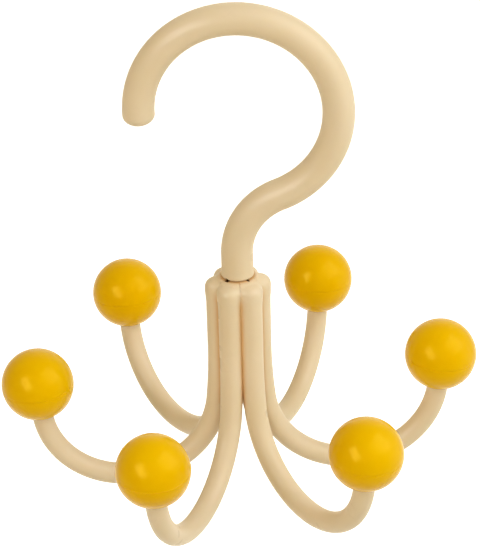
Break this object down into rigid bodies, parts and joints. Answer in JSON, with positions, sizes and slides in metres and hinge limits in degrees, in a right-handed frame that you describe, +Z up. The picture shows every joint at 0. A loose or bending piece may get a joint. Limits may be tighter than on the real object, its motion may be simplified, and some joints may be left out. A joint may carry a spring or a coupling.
{
  "type": "scarf hanger",
  "caption": "Scarf hanger: a round rail hook that swivels on a column of curved rod arms, each arm ending in a smooth ball so that scarves and belts stay on.",
  "frame": {"origin": "the place under the hook's crown that rests on the rail, straight above the swivel axis", "axes": "+Z up along the swivel axis; the hook lies in the XZ plane with its mouth towards -X; +Y is away from the viewer"},
  "size_m": [0.1696, 0.1628, 0.1867],
  "materials": {
    "cream_plastic": "satin cream moulded plastic",
    "hub_plastic": "satin cream moulded plastic",
    "yellow_plastic": "satin gloss yellow moulded plastic",
    "plated_steel": "zinc plated steel"
  },
  "bodies": {
    "hook_assembly": {"hook": "cream_plastic", "retaining_screw": "plated_steel", "washer": "plated_steel"},
    "arm_cluster": {"hub": "hub_plastic", "arm_right": "cream_plastic", "arm_back_right": "cream_plastic", "arm_back_left": "cream_plastic", "arm_left": "cream_plastic", "arm_front_left": "cream_plastic", "arm_front_right": "cream_plastic", "ball_lower_right": "yellow_plastic", "ball_lower_back_right": "yellow_plastic", "ball_lower_back_left": "yellow_plastic", "ball_lower_left": "yellow_plastic", "ball_lower_front_left": "yellow_plastic", "ball_lower_front_right": "yellow_plastic", "ball_upper_right": "yellow_plastic", "ball_upper_back_right": "yellow_plastic", "ball_upper_back_left": "yellow_plastic", "ball_upper_left": "yellow_plastic", "ball_upper_front_left": "yellow_plastic", "ball_upper_front_right": "yellow_plastic"}
  },
  "joints": [
    {"name": "hook_swivel", "type": "hinge", "parent": "hook_assembly", "child": "arm_cluster", "pos_m": [0, 0, -0.0924], "axis": [0, 0, 1], "continuous": true}
  ]
}
